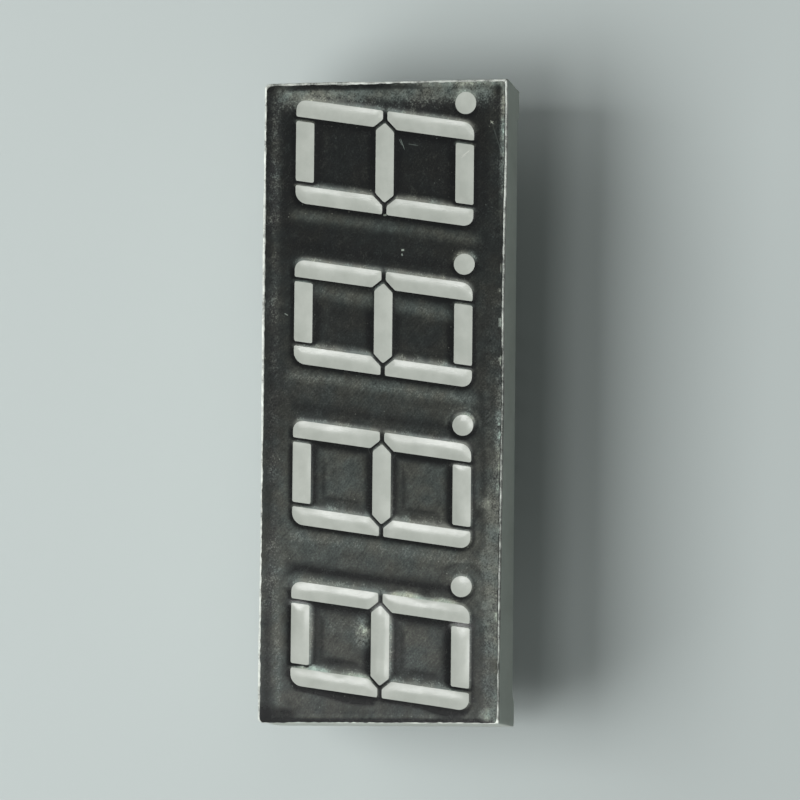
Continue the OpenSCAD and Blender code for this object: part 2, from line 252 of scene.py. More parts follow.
def hump(value, middle, width):
    """A bell of height 1 at middle, falling as exp(-(distance / width) squared)."""
    return np.exp(-((value - middle) / width) ** 2)


def blur(field, radius):
    """A grid field spread by a bell along one axis and then the other. Its radius, or its radii along y and x,
    are in grid steps."""
    for axis, width in enumerate(np.broadcast_to(radius, 2)):
        reach = int(math.ceil(width * 3))
        weight = np.exp(-0.5 * (np.arange(-reach, reach + 1) / width) ** 2)
        weight /= weight.sum()
        padded = np.pad(field, [(reach, reach) if a == axis else (0, 0) for a in (0, 1)], mode="edge")
        size = field.shape[axis]
        field = sum(w * np.take(padded, np.arange(k, k + size), axis) for k, w in enumerate(weight))
    return field


def cloud(shape, radius, seed):
    """Even random clouds on a grid: white noise spread over radius steps, brought to mean 0 and spread 1."""
    field = blur(np.random.default_rng(seed).standard_normal(shape), radius)
    return (field - field.mean()) / field.std()


def wander(count, radius, seed):
    """Closed random line of count values, spread over radius steps, mean 0 and spread 1."""
    noise = np.random.default_rng(seed).standard_normal(count)
    turns = np.fft.rfftfreq(count)
    line = np.fft.irfft(np.fft.rfft(noise) * np.exp(-0.5 * (2 * math.pi * turns * radius) ** 2), count)
    return (line - line.mean()) / line.std()


# ---------------------------------------------------------------- outlines of the windows

def rounded(corners):
    """Outline whose corners (x, y, r) are rounded by arcs of radius r that touch both sides."""
    corners = np.array(corners, dtype=float)
    points = []
    for k in range(len(corners)):
        here, radius = corners[k, :2], corners[k, 2]
        before = corners[k - 1, :2] - here
        after = corners[(k + 1) % len(corners), :2] - here
        before, after = before / np.linalg.norm(before), after / np.linalg.norm(after)
        half = math.acos(np.clip(before @ after, -1, 1)) / 2
        centre = here + (before + after) / np.linalg.norm(before + after) * radius / math.sin(half)
        start = here + before * radius / math.tan(half) - centre
        turn = math.copysign(math.pi - 2 * half, before[1] * after[0] - before[0] * after[1])
        angles = np.linspace(0, turn, 9 if radius > 0.3 else 3)
        points.append(np.stack([centre[0] + start[0] * np.cos(angles) - start[1] * np.sin(angles),
                                centre[1] + start[0] * np.sin(angles) + start[1] * np.cos(angles)], -1))
    return np.concatenate(points)


def window_outlines():
    """The seven windows of a leaning digit about its own middle: two bars, four posts and the middle one. The
    bar and the post are mirrored, and every outline is sheared by LEAN."""
    r = WINDOW_R
    slope = MITRE_RUN / (BAR_T / 2)
    cut = POST_MID + slope * SEG_GAP / 2
    bar = rounded([(-BAR_HALF, HALF_H - BAR_T, r), (BAR_HALF, HALF_H - BAR_T, r),
                   (BAR_HALF, HALF_H, r), (-BAR_HALF, HALF_H, r)])
    post = rounded([(POST_IN, (cut - POST_IN) / slope, r), (POST_MID, SEG_GAP / 2, r),
                    (HALF_W, SEG_GAP / 2, r), (HALF_W, HALF_H, OUTER_R), (POST_IN, HALF_H, r)])
    inner = MIDDLE_TIP - MITRE_RUN
    middle = rounded([(-MIDDLE_TIP, 0, r), (-inner, -BAR_T / 2, r), (inner, -BAR_T / 2, r),
                      (MIDDLE_TIP, 0, r), (inner, BAR_T / 2, r), (-inner, BAR_T / 2, r)])
    shapes = {"a": bar, "b": post, "c": post * (1, -1), "d": bar * (1, -1), "e": post * (-1, -1),
              "f": post * (-1, 1), "g": middle}
    return {name: np.stack([s[:, 0] + s[:, 1] * LEAN, s[:, 1]], -1) for name, s in shapes.items()}


def distance_to(outline, x, y):
    """Signed distance from every grid point to a closed outline: the least distance to any side, negative
    inside, where inside means that a line to the right crosses an odd number of sides."""
    least = np.full(x.shape, 1e9)
    inside = np.zeros(x.shape, bool)
    for (ax, ay), (bx, by) in zip(outline, np.roll(outline, -1, axis=0)):
        dx, dy = bx - ax, by - ay
        along = np.clip(((x - ax) * dx + (y - ay) * dy) / (dx * dx + dy * dy), 0, 1)
        least = np.minimum(least, (x - ax - along * dx) ** 2 + (y - ay - along * dy) ** 2)
        if dy:
            inside ^= ((ay > y) != (by > y)) & (x < ax + (y - ay) * dx / dy)
    return np.where(inside, -1, 1) * np.sqrt(least)


def digit_middle(digit):
    """Middle of a digit: the middle of its middle segment."""
    low, high = node_box(f"digit_{digit}_segment_g")
    return (low + high)[:2] / 2


def dot_middle(digit):
    """Middle of a digit's dot."""
    low, high = node_box(f"digit_{digit}_dot")
    return (low + high)[:2] / 2


# ---------------------------------------------------------------- the printed film

def edge_flare(x, y):
    """How far the moulding's front edge stands out of its plain rectangle, in millimetres along x and y.
    The far right end is skewed by about one degree, and the lower long edge bows out towards that end."""
    along = np.interp(y, [-9.6, -6.9, -4.1, -1.4, 1.4, 4.1, 6.9, 9.6],
                      [0.20, 0.15, 0.10, 0.05, 0.0, 0.0, -0.05, -0.12])
    down = np.interp(x, [-25.3, -20, -15, -10, -5, 0, 5, 10, 15, 20, 25.3],
                     [-0.10, -0.09, -0.05, -0.02, 0.02, 0.08, 0.03, 0.05, 0.10, 0.18, 0.14])
    return (along * ease(END_X - FLARE_ZONE, END_X, x), -down * ease(SIDE_Y - FLARE_ZONE, SIDE_Y, -y))


class Face:
    """The face as fields on one grid: where its points are, how deep the film lies and how it is marked."""

    def __init__(self, settings):
        step = settings.spacing / MM
        low, high = FILM[0][:2], FILM[1][:2]
        nx, ny = (int(round(v / step)) + 1 for v in high - low)
        self.step = step
        self.x, self.y = np.meshgrid(np.linspace(low[0], high[0], nx), np.linspace(low[1], high[1], ny))
        self.windows, self.posts, self.bars, self.dots, self.parts = {}, {}, {}, {}, {}
        self.measure_windows()
        self.sink(settings.dip / MM)
        self.mark()

    def cloud(self, radius, seed):
        """Random clouds over the whole face."""
        return cloud(self.x.shape, radius, seed)

    def grain(self, swing, radius, seed):
        """Random factor about 1: e to the power of swing x clouds."""
        return np.exp(swing * self.cloud(radius, seed))

    def dust(self, middle, swing, radius, seed):
        """Random factor about middle, never below 0: middle + swing x clouds."""
        return np.clip(middle + swing * self.cloud(radius, seed), 0, 2)

    def spot(self, x, y, radius, squeeze=(1, 1), crest=0.0):
        """A bell of the distance to (x, y), highest at the distance crest, and narrower by squeeze."""
        return hump(np.hypot((self.x - x) * squeeze[0], (self.y - y) * squeeze[1]), crest, radius)

    def measure_windows(self):
        """Distance fields of each digit's posts, bars and dot, and of the whole set."""
        outlines = window_outlines()
        far = np.full(self.x.shape, 1e3)
        for digit in DIGITS:
            cx, cy = digit_middle(digit)
            dx, dy = dot_middle(digit)
            cols = np.abs(self.x[0] - cx) < DIGIT_REACH
            for name, outline in outlines.items():
                field = far.copy()
                placed = outline + (cx - PRINT_SHIFT, cy + PRINT_SHIFT)
                field[:, cols] = distance_to(placed, self.x[:, cols], self.y[:, cols])
                self.parts[digit, name] = field
            self.posts[digit] = np.minimum.reduce([self.parts[digit, k] for k in "bcef"])
            self.bars[digit] = np.minimum.reduce([self.parts[digit, k] for k in "adg"])
            self.dots[digit] = np.hypot(self.x - dx, self.y - dy) - DOT_R
            self.windows[digit] = np.minimum.reduce([self.posts[digit], self.bars[digit], self.dots[digit]])
        self.window = np.minimum.reduce(list(self.windows.values()))
        # which way the nearest window lies: rise is +1 where it lies towards -x, and side +1 where towards +y
        grad_y, grad_x = np.gradient(np.clip(self.window, -1, 4), self.step)
        self.rise, self.side = blur(grad_x, 0.7), -blur(grad_y, 0.7)

    def upright(self, digit):
        """Grid coordinates in a digit's own upright frame."""
        cx, cy = digit_middle(digit)
        return self.x - cx - (self.y - cy) * LEAN, self.y - cy

    def sink(self, dip):
        """Depth of the film below its plane. Over every window it falls as a raised cosine of the distance to
        the outline, from its reach outside to its reach inside, by a share of dip that SINKS gives. Pinches
        stand up across two of the lowest digit's posts, and waves and clouds make the rest uneven."""
        fall = np.zeros(self.x.shape)
        for digit, (post, out, bar, dot) in SINKS.items():
            mine = np.zeros(self.x.shape)
            # field, depth as a share of the dip, reach outside and inside the outline, spread
            for field, depth, reach, into, spread in ((self.posts, post, out, POST_FALL - out, 0),
                                                      (self.bars, bar, 0.35, 0.5, 2.2),
                                                      (self.dots, dot, 0.3, 0.6, 0)):
                t = np.clip((reach - field[digit]) / (reach + into), 0, 1)
                part = depth * (0.5 - 0.5 * np.cos(math.pi * t))
                mine = np.maximum(mine, blur(part, spread) if spread else part)
            fall += dip * mine
        height = -blur(fall, 1.0)
        for px, py, lean in PINCHES:
            along, across = self.y - py, self.x - px
            height += 0.07 * hump(along + lean * across, 0, 0.25) * hump(across, 0.05, 0.5)
            height += 0.03 * hump(np.abs(along) - 0.9 - 0.5 * across, 0, 0.35) * hump(across, 0.2, 0.6)
        height += 0.003 * self.cloud(9, 3) + 0.0012 * self.cloud(3, 4)
        inside = ease(0.15, -0.6, self.window) * (0.5 + 0.5 * ease(4, -4, self.x))
        height += inside * (0.013 * self.cloud((5, 7), 6) + 0.002 * self.cloud((1.5, 5), 7))
        height += 0.004 * ease(-8.2, -9.2, self.y) * self.cloud((1.6, 14), 5)
        # held above the windows' underside by a smooth bend
        over = np.maximum(-SINK_LIMIT - height, 0)
        self.height = np.minimum(np.maximum(height, -SINK_LIMIT) - SINK_BEND * np.tanh(over / SINK_BEND), 0.0)

    def mark(self):
        """How grey the print is drawn, as a reflectance, and how gritty it is. The grey holds dust and wear
        together with painted shade and painted highlights. Each step scales the grey or adds to it: darker
        places are
        1 - share x bell, and greyer ones are height x bell."""
        x = self.x
        places = map(self.upright, DIGITS)
        self.loops = sum(ease(6.4, 6.1, np.abs(v)) * ease(3.6, 3.3, np.abs(u)) for u, v in places)
        self.streaks = np.exp(0.15 * self.cloud((1.2, 24), 13) + 0.10 * self.cloud(1.0, 36))
        # grey falling from the -x end towards the +x end
        bloom = np.interp(x, [-25, -22, -17, -13, -9, -5, -2, 1, 4, 8, 12, 16, 25],
                          [0.036, 0.038, 0.045, 0.046, 0.042, 0.043, 0.030, 0.028, 0.020, 0.017, 0.009,
                           0.006, 0.006])
        bloom = bloom * np.exp(0.10 * self.cloud(22, 11) + 0.05 * self.cloud(2, 12))
        bloom = self.grey_round_digits(bloom)
        bloom = self.grey_within_digits(bloom)
        bloom = self.grey_margins(bloom)
        # rubbed away at the lower right corner and along the middle of the lower edge
        corner = ease(0.38, 0.08, SIDE_Y - 0.2 + self.y) * ease(13, 22, x)
        corner = corner + ease(0.38, 0.08, END_X - 0.2 - x) * ease(1.0, -7.5, self.y)
        corner += 0.35 * self.spot(END_X - 1.2, SIDE_Y - 1.6, 0.9)
        bloom += 0.13 * np.clip(corner, 0, 1) * self.grain(0.35, 0.8, 15)
        low = ease(0.6, 0.15, SIDE_Y - 0.2 + self.y) * ease(4, -1, x) * ease(-12, -8, x)
        bloom += 0.03 * low * self.grain(0.3, 1.0, 16)
        # ink chipped off the lower long edge
        chips = ease(1.0, 1.5, self.cloud(1.4, 37)) * ease(SIDE_Y - 0.50, SIDE_Y - 0.22, -self.y)
        chips *= ease(-24, -20, x)
        bloom += 0.24 * chips * ease(14, 8, x)
        patch = self.spot(-18.2, 1.35, 0.75, (1, 1.8), crest=0.15)
        bloom = self.grey_spots(bloom, patch)
        self.fringe, self.bloom = self.paint_halos(bloom)
        grit = 0.6 + 0.25 * ease(4, 12, x) - 0.35 * hump(x, -2, 3)
        grit = grit * hump(self.y, 8.7, 0.45) * ease(-24, -10, x)
        grit += 0.15 + 0.75 * hump(x, END_X - 1.6, 0.7)
        grit += ((0.15 + 0.3 * ease(-9, -16, x)) * ease(SIDE_Y - 1.8, SIDE_Y - 0.9, -self.y)
                 + 0.6 * np.clip(corner + low, 0, 1) + 0.8 * patch)
        self.grit = np.clip(grit * (1 + 0.3 * self.cloud(5, 19)), 0, 1)

    def grey_round_digits(self, bloom):
        """A lighter grey band on the -x side of each digit and a painted shade band on its +x side, a painted
        shade band beyond each lit slope, and painted shade in a ring round the windows."""
        for digit, (lift, dark) in DIGIT_BANDS.items():
            u, v = self.upright(digit)
            inside = ease(8.0, 6.8, np.abs(v)) * ease(6.5, 6.1, np.abs(u))
            bloom += lift * hump(u, -5.1, 0.42) * inside * (0.88 + 0.08 * self.cloud((14, 5), 20 + digit))
            # painted shade band beyond each digit's +x edge
            bloom *= 1 - dark * hump(u, 5.2, 0.5) * inside
        # painted shade: a darker band just beyond the lit slope of each window
        lit = np.clip(np.maximum(self.rise, self.side), 0, 1) * ease(-2, -6, self.x)
        bloom *= 1 - 0.65 * hump(self.window, 1.02, 0.25) * lit
        # painted shade in a ring round the windows, narrower outside the loops
        posts_bars = np.minimum.reduce([*self.posts.values(), *self.bars.values()])
        near = ease(0.3, 0.95, posts_bars) * self.loops + ease(0.15, 0.55, posts_bars) * (1 - self.loops)
        near *= ease(0.1, 0.5, np.minimum.reduce(list(self.dots.values())))
        bloom *= (0.05 + 0.95 * near) * (0.87 + 0.13 * self.loops)
        return bloom

    def grey_within_digits(self, bloom):
        """The lit arc in the third digit's loops, the dark stripes in the second's, and painted shade round
        the lowest one's windows."""
        u, v = self.upright(3)
        arc = ease(6.0, 5.0, np.abs(v)) * ease(0.6, 1.2, np.abs(v)) * ease(3.4, 3.0, np.abs(u))
        bloom *= 1 - 0.35 * arc
        bloom += 0.050 * hump(u - 0.04 * v, 1.6, 0.55) * arc * (0.8 + 0.25 * self.cloud((4, 10), 33))
        u, v = self.upright(2)
        bloom *= 1 - 0.35 * hump(np.abs(u), 2.6, 0.45) * ease(6.2, 5.5, np.abs(v))
        u, v = self.upright(1)
        # painted shade round the lowest digit's windows
        bloom *= 0.55 + 0.45 * ease(0.4, 1.6, np.where((self.x < -8) & (np.abs(u) < 3.5), self.window, 9))
        return bloom

    def painted_shade_below_lowest(self):
        """Painted shade: dark lenses beside the lowest digit's posts on the -x side, 1 within them. The width
        of each is a level plus a bell of the height, one for the upper post and one for the lower."""
        u, v = self.upright(1)
        lens_a = 0.45 + 0.38 * hump(v, 2.2, 2.2)
        lens_b = 0.30 + 0.35 * hump(v, -5.2, 1.6)
        under = ease(0.12, -0.1, self.window - np.where(v > 0, lens_a, lens_b)) * (u < -3) * (self.rise < 0.2)
        return under * (ease(7.3, 6.6, np.abs(v)) * ease(0.3, 0.5, np.abs(v)))

    def grey_margins(self, bloom):
        """The margins: the band inside the upper edge, the rubbed lower edge, the dusty right end with a clean
        line at its rim, and the left end's fine line."""
        x, y = self.x, self.y
        band = np.interp(x, [-25, -22.5, -19, -15, -12, -7, -4, 0, 6, 8, 22, 24],
                         [0.012, 0.022, 0.040, 0.022, 0.004, 0.012, 0.002, 0.0, 0.0, 0.012, 0.014, 0.0])
        bloom += band * hump(y, np.interp(x, [-16, -10, 4, 8], [8.1, 7.85, 7.85, 8.6]), 0.33) * self.streaks
        bloom *= 1 - (0.5 + 0.25 * ease(-14, -17, x)) * hump(y, 8.95, 0.45) * ease(8, 4, x)
        band = np.interp(x, [-25, -23, -18, -15.5, -12, -8, -2, 4, 8, 14],
                         [0.026, 0.019, 0.030, 0.042, 0.040, 0.023, 0.016, 0.005, 0.001, 0.005])
        bloom += band * ease(SIDE_Y - np.interp(x, [-12, -8], [2.4, 1.7]), SIDE_Y - 1.0, -y) * self.streaks
        bloom *= 1 - 0.3 * hump(x, -2, 8) * ease(7.2, 8.0, np.abs(y))
        right = ease(-1.5, -4.5, y)
        band = hump(x, END_X - 0.95 + 0.15 * right, 0.52 + 0.12 * right)
        band = band * ease(-9.0, -8.0, y) * ease(8.6, 7.6, y)
        bloom += 0.105 * band * (0.75 + 0.25 * ease(-1, 5, y)) * self.grain(0.15, 1, 14)
        bloom *= 1 - 0.85 * ease(0.68, 0.54, END_X - x) * (1 - right)
        from_end = x - x.min()
        bloom *= 1 - 0.85 * ease(1.5 - 0.5 * hump(y, 7, 1), 0.8, from_end) * ease(6.0, 7.2, y)
        bloom += 0.014 * hump(from_end, 0.45, 0.12) * ease(7.2, 6, y) * self.grain(0.5, 0.8, 32)
        bloom *= 1 - 0.93 * ease(0.42, 0.20, from_end) * ease(-9.4, -8.9, y)
        # painted shade beside the lowest digit's posts
        bloom *= 1 - 0.96 * self.painted_shade_below_lowest()
        return bloom

    def grey_spots(self, bloom, patch):
        """The sparkling patch by the lowest middle bar, the smears at the corner and by the second digit's
        lower bar, darker spots, and a painted highlight and a dark ring round the second digit's dot."""
        bloom += 0.20 * patch * self.dust(0.8, 0.25, 0.8, 17)
        bloom += 0.25 * self.spot(-24.55, -8.72, 0.32, (1, 0.8)) * self.dust(0.8, 0.5, 1.0, 38)
        bloom += 0.10 * self.spot(-8.1, -8.35, 0.45, (0.6, 1)) * self.dust(0.8, 0.4, 1.0, 18)
        bloom *= 1 - 0.85 * self.spot(-8.8, -7.7, 0.5, (1, 1.3))
        bloom *= 1 - 0.85 * self.spot(-15.0, -3.7, 0.4, (1.3, 1))
        bloom *= 1 - 0.75 * self.spot(-20.6, 3.6, 0.5, (1.2, 0.55))
        ring = self.dots[2]
        from_x, from_y = self.x - dot_middle(2)[0], self.y - dot_middle(2)[1]
        # painted highlight: faint glow on the dot's lit side
        bloom += 0.035 * hump(ring, 0.48, 0.16) * ease(-0.3, 0.6, from_x)
        bloom *= 1 - 0.8 * hump(ring, 0.25, 0.2)
        # painted highlight: bright crescent just outside the dot on its lit side
        bloom += 0.14 * hump(ring, 0.08, 0.14) * ease(-0.2, 0.6, from_x) * ease(-0.3, 0.4, -from_y)
        return bloom

    def paint_halos(self, bloom):
        """Painted highlight: grainy white along the far, lit edge of each window, wider in two lobes on either
        side of each pinch. Gives that painted halo and the grey, which the lobes lift as painted highlight
        too."""
        x = self.x
        v = self.upright(1)[1]
        rise, side = np.clip(self.rise, 0, 1) ** 2, np.clip(self.side, 0, 1) ** 2
        reach = 0.52 + self.loops * np.interp(x, [-8, 6, 14, 17], [0.36, 0.30, 0.2, 0.1])
        soft = np.clip(self.rise, 0, 1) * ease(reach, 0.0, self.window)
        # painted highlight on the lit side of every window
        fringe = 0.45 * rise * ease(0.26, 0.0, self.window)
        fringe = fringe + 0.75 * soft ** 1.3 * self.grain(0.25, (1.0, 3), 34)
        fringe += 0.6 * side * ease(0.25, 0.0, self.window) * ease(-3, -10, x)
        c_lobes = 0.62 * hump(v, -2.0, 1.15) ** 0.5 + 0.5 * hump(v, -5.2, 1.0) ** 0.5 - 0.18
        f_lobes = 0.55 * hump(v, 5.4, 1.2) ** 0.5 + 0.42 * hump(v, 1.7, 1.2) ** 0.5 - 0.15
        for field, lobes in (("c", c_lobes), ("f", f_lobes)):
            d = self.parts[1, field]
            above = ease(0.0, 0.3, self.rise) * (d < 1.2) * ease(0.1, 0.3, lobes)
            fringe += above * ease(0.12, -0.18, d - lobes) * (0.35 + 0.65 * hump(d, lobes - 0.12, 0.12))
            # the lobes also lift the grey as painted highlight
            bloom += 0.24 * above * ease(0.12, -0.30, d - lobes) * self.grain(0.2, (1, 3), 35)
        b_post = self.parts[1, "b"]
        fringe += 0.45 * rise * ease(0.75, 0.0, b_post) * (b_post < 0.8)
        bars = np.minimum(self.parts[1, "a"], self.parts[1, "g"])
        fringe += 0.5 * side * ease(0.5, 0.1, bars) * (0.7 + 0.5 * self.cloud(5, 31)) * (bars < 0.6)
        return np.clip(fringe, 0, 1), np.clip(bloom, 0, 0.5)

    def flat(self, ragged):
        """Points of the film's plan, with its cut edge flared and wandering by ragged, as flat arrays."""
        x, y = self.x.copy(), self.y.copy()
        rows, columns = x.shape
        east, north = ease(EDGE_ZONE, 0, x.max() - x), ease(EDGE_ZONE, 0, y.max() - y)
        west, south = ease(EDGE_ZONE, 0, x - x.min()), ease(EDGE_ZONE, 0, y - y.min())
        fx, fy = edge_flare(np.clip(x, HOUSING[0][0], END_X), np.clip(y, HOUSING[0][1], SIDE_Y))
        rag = {k: 0.8 * wander(n, 0.9, s) + 0.5 * wander(n, 4.0, s + 1) + 0.7 * wander(n, 25.0, s + 2)
               for k, n, s in (("e", rows, 41), ("w", rows, 43), ("n", columns, 45), ("s", columns, 47))}
        x -= west * 0.17
        y += north * np.interp(x, [-25, 0, 8, 25], [0.06, 0.0, 0.03, 0.0]) + south * 0.03
        # corners: a square corner zone is drawn in to a quarter disc
        deep_x, deep_y = (np.maximum(CORNER_ZONE - (v.max() - np.abs(v)), 0) for v in (self.x, self.y))
        draw = np.maximum(deep_x, deep_y) / np.maximum(np.hypot(deep_x, deep_y), 1e-9) - 1
        both = (deep_x > 0) & (deep_y > 0)
        x += both * draw * deep_x * np.sign(self.x)
        y += both * draw * deep_y * np.sign(self.y)
        x += fx + ragged * (east * rag["e"][:, None] - west * rag["w"][:, None])
        y += fy + ragged * (north * rag["n"][None, :] - south * rag["s"][None, :])
        return x.ravel(), y.ravel()


def split_triangles(triangles, level):
    """Cuts triangles along level = 0. Each cut side gets one new point where the level, taken as straight
    along the side, is 0. Gives the sides as (first, second, share) and the triangles below and above."""
    below = level < 0
    sides = np.sort(np.concatenate([triangles[:, [0, 1]], triangles[:, [1, 2]], triangles[:, [2, 0]]]), axis=1)
    sides = np.unique(sides[below[sides[:, 0]] != below[sides[:, 1]]], axis=0)
    first, second = sides.T
    share = np.clip(level[first] / (level[first] - level[second]), 0.04, 0.96)
    key = first.astype(np.int64) * len(level) + second

    def cut_point(a, b):
        wanted = np.minimum(a, b).astype(np.int64) * len(level) + np.maximum(a, b)
        return len(level) + np.searchsorted(key, wanted)

    count = below[triangles].sum(axis=1)
    inner, outer = [triangles[count == 3]], [triangles[count == 0]]
    for lone_below in (True, False):
        mixed = triangles[count == (1 if lone_below else 2)]
        lone = np.argmax(below[mixed] == lone_below, axis=1)
        a, b, c = (np.take_along_axis(mixed, ((lone + k) % 3)[:, None], 1)[:, 0] for k in range(3))
        p, q = cut_point(a, b), cut_point(a, c)
        tip = np.stack([a, p, q], -1)
        rest = np.concatenate([np.stack([p, b, c], -1), np.stack([p, c, q], -1)])
        (inner if lone_below else outer).append(tip)
        (outer if lone_below else inner).append(rest)
    return (first, second, share), np.concatenate(inner), np.concatenate(outer)


def closed_slab(points, triangles, floor_z):
    """A closed solid: the given sheet on top, the same sheet flat at floor_z below, and a wall along its
    border, which is every side that belongs to one triangle only. Gives the points, the triangles, and which
    of the sheet's points each point is."""
    used, triangles = np.unique(triangles, return_inverse=True)
    triangles = triangles.reshape(-1, 3)
    top = points[used]
    under = top * (1, 1, 0) + (0, 0, floor_z)
    n = len(top)
    sides = np.concatenate([triangles[:, [0, 1]], triangles[:, [1, 2]], triangles[:, [2, 0]]])
    key = np.sort(sides, axis=1)
    _, index, count = np.unique(key, axis=0, return_index=True, return_counts=True)
    a, b = sides[index[count == 1]].T
    wall_points = np.unique(np.concatenate([a, b]))
    at = np.zeros(n, dtype=np.int64)
    at[wall_points] = np.arange(len(wall_points))
    # the wall has its own points, so that its corner with the top stays crisp
    rim_top, rim_low = 2 * n + at, 2 * n + len(wall_points) + at
    faces = np.concatenate([triangles, triangles[:, ::-1] + n,
                            np.stack([rim_top[a], rim_low[b], rim_top[b]], -1),
                            np.stack([rim_top[a], rim_low[a], rim_low[b]], -1)])
    return np.concatenate([top, under, top[wall_points], under[wall_points]]), faces, np.concatenate(
        [used, used, used[wall_points], used[wall_points]])


# ---------------------------------------------------------------- materials

class Value:
    """A value inside a material, written as a formula: each + - * / makes one Math node."""

    def __init__(self, tree, socket):
        self.tree, self.socket = tree, socket

    def run(self, operation, *operands, clamp=False):
        node = self.tree.nodes.new("ShaderNodeMath")
        node.operation, node.use_clamp = operation, clamp
        for socket, operand in zip(node.inputs, operands):
            feed(self.tree, operand, socket)
        return Value(self.tree, node.outputs[0])

    def __add__(self, other):
        return self.run("ADD", self, other)

    def __sub__(self, other):
        return self.run("SUBTRACT", self, other)

    def __rsub__(self, other):
        return self.run("SUBTRACT", other, self)

    def __mul__(self, other):
        return self.run("MULTIPLY", self, other)

    def __truediv__(self, other):
        return self.run("DIVIDE", self, other)

    def clamped(self, factor):
        """The value times factor, held between 0 and 1."""
        return self.run("MULTIPLY", self, factor, clamp=True)

    def size(self):
        return self.run("ABSOLUTE", self)

    __radd__, __rmul__ = __add__, __mul__


def feed(tree, value, socket):
    """Links a value or a socket into a socket, or sets a plain number or colour on it."""
    if isinstance(value, Value):
        value = value.socket
    if isinstance(value, bpy.types.NodeSocket):
        tree.links.new(value, socket)
    elif isinstance(value, (int, float)):
        socket.default_value = value
    else:
        socket.default_value = (*tuple(value)[:3], 1)


def new_material(name):
    material = bpy.data.materials.new(name)
    material.use_nodes = True
    material.node_tree.nodes.clear()
    return material, material.node_tree


def add(tree, kind, **values):
    """One node; values are its properties, or its inputs where the name is one."""
    node = tree.nodes.new(kind)
    for key, value in values.items():
        if hasattr(node, key):
            setattr(node, key, value)
        else:
            feed(tree, value, node.inputs[key.replace("_", " ")])
    return node


def object_place(tree):
    return add(tree, "ShaderNodeTexCoord").outputs["Object"]


def ramp(source, *stops):
    """Colour ramp from (place, value) stops of grey."""
    node = source.tree.nodes.new("ShaderNodeValToRGB")
    for element, (place, value) in zip(node.color_ramp.elements, stops):
        element.position = place
        element.color = (value, value, value, 1)
    feed(source.tree, source, node.inputs["Fac"])
    return Value(source.tree, node.outputs["Color"])


def mix_colour(factor, first, second):
    """The first colour where factor is 0, and the second where it is 1."""
    node = factor.tree.nodes.new("ShaderNodeMix")
    node.data_type = "RGBA"
    factor_socket, first_socket, second_socket = node.inputs[0], node.inputs[6], node.inputs[7]
    feed(factor.tree, factor, factor_socket)
    feed(factor.tree, first, first_socket)
    feed(factor.tree, second, second_socket)
    return Value(factor.tree, node.outputs[2])


def noise(tree, scale, detail=3.0, rough=0.5, stretch=None, turn=0.0):
    """Noise on Object coordinates, drawn out by stretch along axes turned about z."""
    source = object_place(tree)
    if stretch:
        lay = add(tree, "ShaderNodeMapping", vector_type="TEXTURE")
        lay.inputs["Scale"].default_value = stretch
        lay.inputs["Rotation"].default_value = (0, 0, turn)
        tree.links.new(source, lay.inputs["Vector"])
        source = lay.outputs["Vector"]
    node = add(tree, "ShaderNodeTexNoise", Vector=source, Scale=scale, Detail=detail, Roughness=rough)
    return Value(tree, node.outputs["Fac"])


def new_group(name, output, **inputs):
    """An empty node group with named inputs and one output, all floats, its given values, and its end node."""
    group = bpy.data.node_groups.new(name, "ShaderNodeTree")
    for label, value in inputs.items():
        group.interface.new_socket(label, in_out="INPUT", socket_type="NodeSocketFloat").default_value = value
    group.interface.new_socket(output, in_out="OUTPUT", socket_type="NodeSocketFloat")
    given = group.nodes.new("NodeGroupInput").outputs
    end = group.nodes.new("NodeGroupOutput").inputs[output]
    return group, {label: Value(group, given[label]) for label in inputs}, end


def grain_group():
    """Fine grain: two sizes of noise on Object coordinates, their mean as a value between 0 and 1."""
    group, given, end = new_group("fine_grain", "Grain", Scale=3000.0, Coarse=0.3)
    fine = noise(group, given["Scale"], 3.0, 0.6)
    coarse = noise(group, given["Scale"] * 0.22, 2.0)
    feed(group, coarse * given["Coarse"] + fine * (1.0 - given["Coarse"]), end)
    return group


def speck_group():
    """Sparse specks: cells of Voronoi noise whose centres are near, thinned by a cloud; 1 in a speck."""
    group, given, end = new_group("dust_specks", "Mask", Scale=2500.0, Size=0.16, Amount=0.5)
    cells = add(group, "ShaderNodeTexVoronoi", Vector=object_place(group), Scale=given["Scale"])
    patch = noise(group, given["Scale"] * 0.3)
    hard = (given["Size"] - Value(group, cells.outputs["Distance"])).clamped(14.0)
    share = (patch - (1.0 - given["Amount"])).clamped(8.0)
    feed(group, hard * share, end)
    return group


def hairline_group():
    """One hairline scratch: 1 within Width of a straight line of the given Length through (X, Y) at Angle,
    fading at its ends and broken up by noise. All in metres and radians on Object coordinates."""
    group, given, end = new_group("hairline", "Mask", X=0.0, Y=0.0, Angle=0.0, Length=0.001, Width=0.00003)
    split = add(group, "ShaderNodeSeparateXYZ", Vector=object_place(group))
    x = Value(group, split.outputs[0]) - given["X"]
    y = Value(group, split.outputs[1]) - given["Y"]
    cosine, sine = (given["Angle"].run(name, given["Angle"]) for name in ("COSINE", "SINE"))
    along = x * cosine + y * sine
    across = y * cosine - x * sine
    thin = (1.0 - across.size() / given["Width"]).clamped(1.0)
    ends = (1.0 - along.size() / (given["Length"] * 0.5)).clamped(3.0)
    broken = 0.25 + noise(group, 3000.0, 2.0)
    feed(group, thin * ends * broken, end)
    return group


SHARED = {}


def place_group(tree, name, **values):
    """A shared node group placed in a material, with its own values."""
    node = tree.nodes.new("ShaderNodeGroup")
    node.node_tree = SHARED[name]
    for key, value in values.items():
        node.inputs[key].default_value = value
    return Value(tree, node.outputs[0])


def fine_grain(tree, scale, coarse):
    return place_group(tree, "fine_grain", Scale=scale, Coarse=coarse)


def dust_specks(tree, scale, size, amount):
    return place_group(tree, "dust_specks", Scale=scale, Size=size, Amount=amount)


